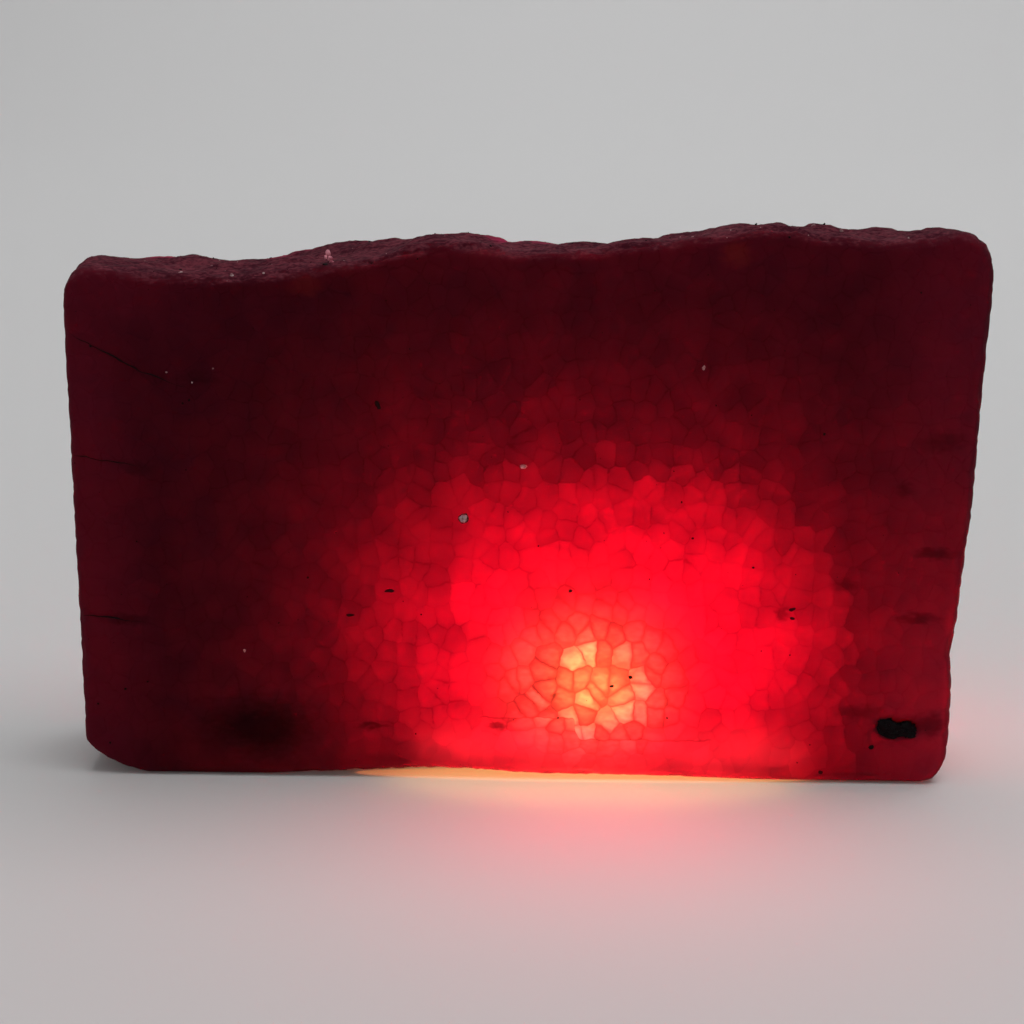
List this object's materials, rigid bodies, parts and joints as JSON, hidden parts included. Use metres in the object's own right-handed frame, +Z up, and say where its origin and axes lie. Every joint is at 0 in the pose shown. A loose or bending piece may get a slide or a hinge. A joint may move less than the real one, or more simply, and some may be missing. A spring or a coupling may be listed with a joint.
{
  "type": "raw ruby slab",
  "caption": "Sawn slab of raw granular ruby with rounded corners and a rough natural top edge, standing on its long lower edge.",
  "frame": {"origin": "bottom centre: on the plane the slab rests on, under the middle of its length and of its thickness", "axes": "+Z up, +X along the length, +Y through the thickness away from the front sawn face"},
  "size_m": [0.065, 0.01, 0.0409],
  "materials": {
    "ruby": "sawn granular ruby, translucent deep red, satin",
    "black_mineral": "rough opaque black mineral grains",
    "stone_dust": "pale matte rock dust and chips"
  },
  "bodies": {
    "root": {"ruby_slab": "ruby"}
  },
  "joints": []
}
